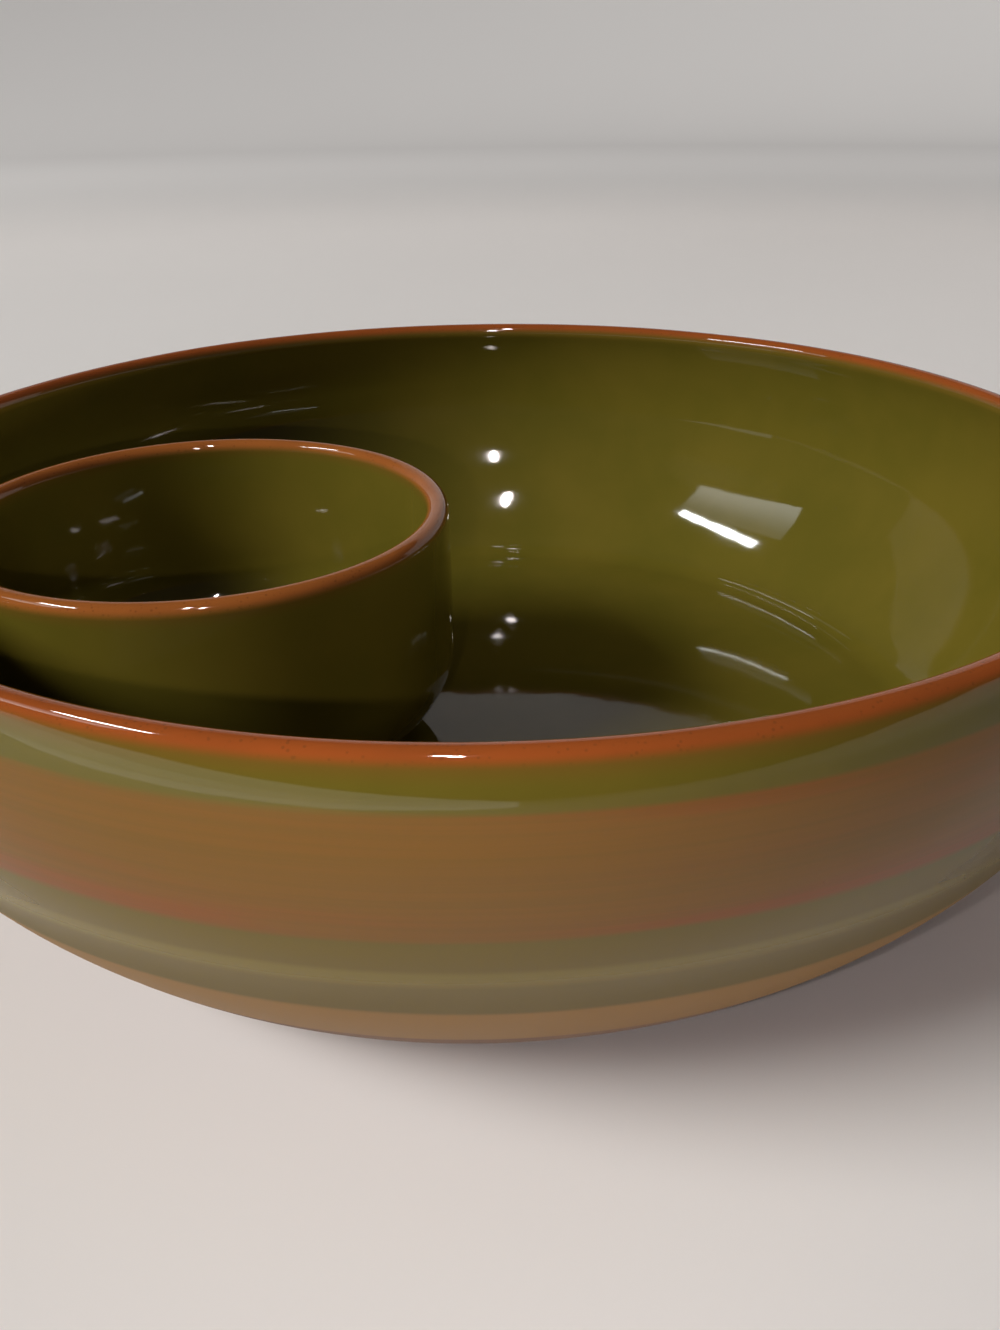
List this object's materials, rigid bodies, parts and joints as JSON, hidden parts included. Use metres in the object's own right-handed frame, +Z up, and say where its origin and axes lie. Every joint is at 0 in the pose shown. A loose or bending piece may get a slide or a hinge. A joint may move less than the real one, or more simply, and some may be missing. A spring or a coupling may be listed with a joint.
{
  "type": "chip and dip bowl",
  "caption": "Wide low round glazed earthenware bowl for chips, with a smaller straight-sided dip bowl that stands loose on its floor at one side and lifts out.",
  "frame": {"origin": "centre of the chip bowl's foot, on the surface that it stands on", "axes": "+Z up along the chip bowl's axis, -X towards the dip bowl, +Y square to both"},
  "size_m": [0.324, 0.324, 0.094],
  "materials": {
    "chip_bowl_glaze": "glossy olive glaze inside and out, wiped off the lip, with painted bands outside and a bare clay foot",
    "dip_bowl_glaze": "glossy olive glaze inside and out, wiped off the lip, with a bare clay foot"
  },
  "bodies": {
    "chip_bowl": {"chip_bowl": "chip_bowl_glaze"},
    "dip_bowl": {"dip_bowl": "dip_bowl_glaze"}
  },
  "joints": [
    {"name": "dip_bowl_lift", "type": "slide", "parent": "chip_bowl", "child": "dip_bowl", "axis": [0, 0, 1], "range_m": [0, 0.1]}
  ]
}
